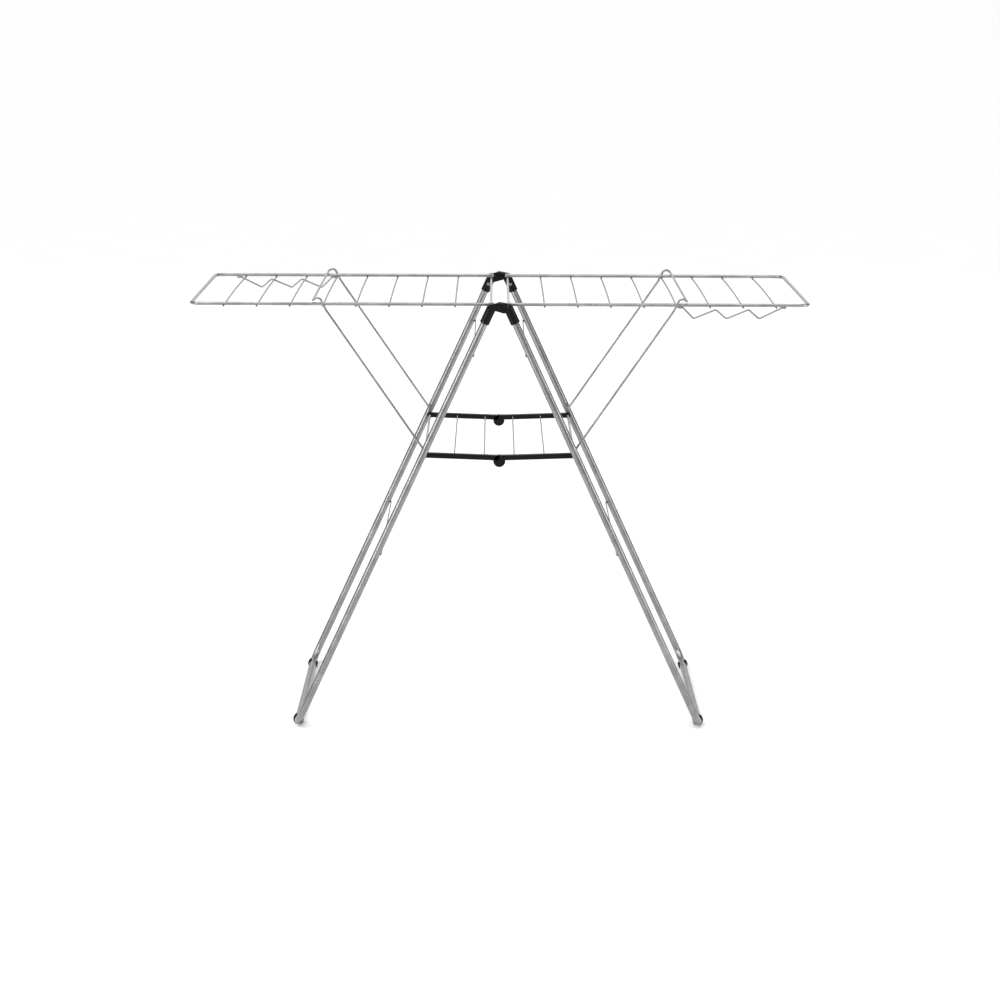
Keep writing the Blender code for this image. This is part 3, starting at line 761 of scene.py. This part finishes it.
def hangerWire():
    # three saw-tooth notches that keep coat hangers apart
    low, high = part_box("hanger_wire_right")
    topZ, lowZ = high.z - hanger["radius"], low.z + hanger["radius"]
    x = low.x
    pitch = (high.x - low.x - 2 * hanger["tail"]) / hanger["notches"]
    corners = [(x, topZ), (x + hanger["tail"], topZ)]
    x += hanger["tail"]
    for notch in range(hanger["notches"]):
        x += pitch * hanger["steepShare"]
        corners.append((x, lowZ))
        x += pitch * (1 - hanger["steepShare"])
        corners.append((x, topZ if notch == hanger["notches"] - 1 else lowZ + hanger["rise"]))
    corners.append((x + hanger["tail"], topZ))
    return bentBar([(x, -railY, z) for x, z in corners], [hanger["bend"]] * (len(corners) - 2),
                   hanger["radius"], hanger["sides"], 8)


axle = dict(radius=0.003, chamfer=0.0005)

for side in ("right", "left"):
    body = "wing_" + side
    settle(wingTube(), "wingTube_" + side, "railPaint", body, ["wing_frame_" + side], side)
    settle(hangerWire(), "hangerWire_" + side, "railPaint", body, ["hanger_wire_" + side], side)
    settle(roundRod(wingAxlePlace, sizeOf("wing_axle_right").y / 2, axle["radius"], axle["chamfer"]),
           "wingAxle_" + side, "zincRod", body, ["wing_axle_" + side], side)
    for number in range(1, 9):
        settle(wingRung(number), "wingRung_%s_%d" % (side, number), "shadedWirePaint", body,
               ["wing_rung_%s_%d" % (side, number)], side)
    settle(wingWelds(), "wingWelds_" + side, "weldBead", body, (), side)


# ---- struts ----

print("rack: struts")

# the hook's corners are counted from the rung it catches and from the middle of the rail
strut = dict(radius=0.0028, footBend=0.005, lowBend=0.008, crownBend=0.011, sides=18, knee=(-0.0078, -0.0134),
             crown=(0.0090, 0.0218), railGap=0.0010, restGap=0.0026, rung=5)


def strutWire():
    # one wire: feet in the legs, up outside the rails, over them in a hook and across
    low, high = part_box("strut_right")
    rungX = middleOf("wing_rung_right_%d" % strut["rung"]).x
    sideY = railY + rail["radius"] + strut["railGap"] + strut["radius"]
    barX = high.x - strut["radius"]
    barZ = railZ + rail["radius"] + strut["restGap"] + strut["radius"]
    half = [(strutPlace.x, high.y, strutPlace.z),
            (strutPlace.x, sideY, strutPlace.z),
            (rungX + strut["knee"][0], sideY, railZ + strut["knee"][1]),
            (rungX + strut["crown"][0], sideY, railZ + strut["crown"][1]),
            (barX, sideY, barZ)]
    corners = [(x, -y, z) for x, y, z in half] + list(reversed(half))
    bends = [strut["footBend"], strut["lowBend"], strut["crownBend"], strut["footBend"]]
    return bentBar(corners, bends + list(reversed(bends)), strut["radius"], strut["sides"], 10)


for side in ("right", "left"):
    settle(strutWire(), "strutWire_" + side, "strutPaint", "strut_" + side, ["strut_" + side], side)


# ---- shelf ----

print("rack: shelf")

bar = dict(height=0.0125, eye=0.0078, edge=0.0016, lift=0.0015, gap=0.0005, knuckle=0.015, rodRoom=0.0033,
           pinRoom=0.0028, rungRoom=0.0018, channel=0.0022, channelDepth=0.0075)
barInner = abs(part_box("shelf_bar_right_rear")[0].y)
barOuter = abs(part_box("shelf_bar_right_rear")[1].y)
barLapY = (barInner + barOuter) / 2
barEnd = Vector((0, 0, knucklePlace.z + bar["lift"] + bar["height"] / 2))
barAlong = (barEnd - shelfRodPlace).normalized()
barUp = Vector((barAlong.z, 0, -barAlong.x))
rungX = {label: middleOf("shelf_rung_%s_right" % label).x for label in ("inner", "outer")}


def shelfBar(hand):
    # a moulded bar with an eye round the leg's rod and a round lap at the middle joint
    outside = hand > 0
    half = bar["height"] / 2
    eyeAngle = math.atan2(barUp.z, barUp.x)
    rod = (shelfRodPlace.x, shelfRodPlace.z)
    outline = [(barEnd.x + barUp.x * half, barEnd.z + barUp.z * half)]
    beyond = math.acos(half / bar["eye"])
    outline += arcPoints(rod, bar["eye"], eyeAngle + beyond, eyeAngle - math.pi - beyond, 32)
    outline.append((barEnd.x - barUp.x * half, barEnd.z - barUp.z * half))
    shape = block(outline, hand * barInner, hand * barOuter, bar["edge"])
    knuckleRoom = turned(knucklePlace + acrossRack * hand * (barInner - 0.002), acrossRack * hand,
                         [(bar["knuckle"] + bar["gap"], 0.0),
                          (bar["knuckle"] + bar["gap"], barOuter - barInner + 0.004)], 56)
    shape = cut(shape, knuckleRoom)
    low, high = (barLapY + bar["gap"] / 2, barOuter) if outside else (barInner, barLapY - bar["gap"] / 2)
    neck = -barAlong * (bar["knuckle"] + 0.006)
    top, bottom = barEnd + barUp * half, barEnd - barUp * half
    neckShape = block([(p.x, p.z) for p in (top, top + neck, bottom + neck, bottom)], hand * low, hand * high, 0.0)
    shape = cut(shape, neckShape, "UNION")
    edge = 0.0008
    disc = turned(knucklePlace + acrossRack * hand * low, acrossRack * hand,
                  [(bar["knuckle"] - edge, 0.0), (bar["knuckle"], edge), (bar["knuckle"], high - low - edge),
                   (bar["knuckle"] - edge, high - low)], 56)
    shape = cut(shape, disc, "UNION")
    for place, room in ((shelfRodPlace, bar["rodRoom"]), (knucklePlace, bar["pinRoom"])):
        shape = cut(shape, turned(place + acrossRack * hand * (barInner - 0.002), acrossRack * hand,
                                  [(room, 0.0), (room, barOuter - barInner + 0.004)], 28))
    for label in ("inner", "outer"):
        centre = middleOf("shelf_rung_%s_right" % label)
        shape = cut(shape, turned(Vector((centre.x, hand * (barInner - 0.002), centre.z)), acrossRack * hand,
                                  [(bar["rungRoom"], 0.0), (bar["rungRoom"], 0.012)], 20))
    return shape


def sinkMarks(hand):
    # cored pockets along the bar's underside, cut between its ribs
    pockets = []
    stops = [0.160, 0.126, 0.098, 0.070, 0.0505]
    for far, near in zip(stops, stops[1:]):
        pockets.append((near + 0.0012, far - 0.0012))
    return pockets


knucklePin = dict(radius=0.0025, head=0.0045, height=0.0012)


def knuckleRivet(hand):
    # a rivet with a domed head on each face
    inner, outer = barInner - 0.0003, barOuter + 0.0003
    length = outer - inner
    dome = [(knucklePin["head"] * math.cos(math.radians(a)), knucklePin["height"] * math.sin(math.radians(a)))
            for a in (0, 20, 40, 60, 80)]
    profile = [(r, -rise) for r, rise in reversed(dome)] + [(knucklePin["radius"], 0.0)]
    profile += [(knucklePin["radius"], length)] + [(r, length + rise) for r, rise in dome]
    return turned(knucklePlace + acrossRack * hand * inner, acrossRack * hand, profile, 28)


def carvePockets(shape, hand):
    for near, far in sinkMarks(hand):
        pocket = bmesh.new()
        bmesh.ops.create_cube(pocket, size=1.0)
        width = barOuter - barInner - 2 * bar["channel"]
        bmesh.ops.scale(pocket, verts=pocket.verts, vec=(far - near, width, bar["channelDepth"]))
        slope = math.atan2(barAlong.z, -barAlong.x)
        bmesh.ops.rotate(pocket, verts=pocket.verts, cent=(0, 0, 0), matrix=Matrix.Rotation(slope, 3, "Y"))
        share = (near + far) / 2 / shelfRodPlace.x
        centre = barEnd.lerp(shelfRodPlace, share) - barUp * (bar["height"] / 2)
        bmesh.ops.translate(pocket, verts=pocket.verts,
                            vec=(centre.x, hand * (barInner + barOuter) / 2, centre.z))
        shape = cut(shape, pocket)
    return shape


for side in ("right", "left"):
    body = "shelf_" + side
    for hand in (-1, 1):
        end = endName(side, hand)
        settle(carvePockets(shelfBar(hand), hand), "shelfBar_%s_%s" % (side, end), "mouldedBlack", body,
               ["shelf_bar_%s_%s" % (side, end)], side, 32)
        if side == "left":
            settle(knuckleRivet(hand), "knuckleRivet_" + end, "mouldedBlack", body, ["knuckle_pin_" + end], side, 50)
    for label in ("inner", "outer"):
        node = "shelf_rung_%s_right" % label
        settle(roundRod(middleOf(node), sizeOf(node).y / 2, sizeOf(node).z / 2, 0.0003, 16),
               "shelfRung_%s_%s" % (label, side), "shadedWirePaint", body, ["shelf_rung_%s_%s" % (label, side)], side)


# ---- floor, light and camera ----

print("rack: floor, light and camera")

studio = dict(floorSize=240.0, floorLevel=0.86, sky=0.42, sun=2.6, sunSoft=70, back=120)


def paleFloor():
    shape = bmesh.new()
    bmesh.ops.create_grid(shape, x_segments=2, y_segments=2, size=studio["floorSize"])
    mesh = bpy.data.meshes.new("floor")
    shape.to_mesh(mesh)
    shape.free()
    floor = bpy.data.objects.new("floor", mesh)
    bpy.context.scene.collection.objects.link(floor)
    material, tree, shader, place = newFinish("palePaper")
    tone = place.noise(3.0, 3.0).band(0.3, 0.7).blend(shade(studio["floorLevel"]), shade(studio["floorLevel"] * 0.99))
    shader.inputs["Roughness"].default_value = 0.9
    shader.inputs["Specular IOR Level"].default_value = 0.1
    joinShader(tree, shader, {"Base Color": tone})
    mesh.materials.append(material)


def aimedLight(name, kind, place, target, energy, size=1.0):
    light = bpy.data.lights.new(name, kind)
    light.energy = energy
    if kind == "AREA":
        light.shape = "RECTANGLE"
        light.size, light.size_y = size
    holder = bpy.data.objects.new(name, light)
    holder.location = place
    holder.rotation_euler = (Vector(target) - Vector(place)).to_track_quat("-Z", "Y").to_euler()
    bpy.context.scene.collection.objects.link(holder)
    return light


def studioLight():
    world = bpy.data.worlds.new("studio")
    bpy.context.scene.world = world
    world.use_nodes = True
    world.node_tree.nodes["Background"].inputs["Color"].default_value = (1, 1, 1, 1)
    world.node_tree.nodes["Background"].inputs["Strength"].default_value = studio["sky"]
    sun = aimedLight("softSun", "SUN", (-1.2, -1.6, 5.0), (0, 0, 0.5), studio["sun"])
    sun.angle = math.radians(studio["sunSoft"])
    aimedLight("leftStrip", "AREA", (-3.0, -2.4, 1.9), (0, 0, 0.7), 58, (0.5, 2.6))
    aimedLight("rightStrip", "AREA", (3.2, -1.6, 1.7), (0, 0, 0.7), 46, (0.5, 2.6))
    # a broad soft panel far behind, for the tubes and wires that run along the rack's depth
    aimedLight("backPanel", "AREA", (0, 8.0, 3.6), (0, 0, 1.0), studio["back"], (12.0, 3.2))


cameraMan = dict(place=(-0.0176, -6.2702, 1.8989), pitch=0.2150, yaw=0.0033, roll=0.0042,
                 lens=2452.55 * 36 / 1000)


def addCamera():
    camera = bpy.data.cameras.new("camera")
    camera.sensor_width = 36
    camera.lens = cameraMan["lens"]
    holder = bpy.data.objects.new("camera", camera)
    pitch, yaw, roll = cameraMan["pitch"], cameraMan["yaw"], cameraMan["roll"]
    forward = Vector((math.sin(yaw) * math.cos(pitch), math.cos(yaw) * math.cos(pitch), -math.sin(pitch)))
    right = Vector((math.cos(yaw), -math.sin(yaw), 0))
    up = right.cross(forward)
    rolledRight = right * math.cos(roll) + up * math.sin(roll)
    rolledUp = up * math.cos(roll) - right * math.sin(roll)
    holder.matrix_world = Matrix((rolledRight, rolledUp, -forward)).transposed().to_4x4()
    holder.location = cameraMan["place"]
    bpy.context.scene.collection.objects.link(holder)
    bpy.context.scene.camera = holder


paleFloor()
studioLight()
addCamera()
bpy.context.scene.view_settings.view_transform = "Standard"

print("rack: done")
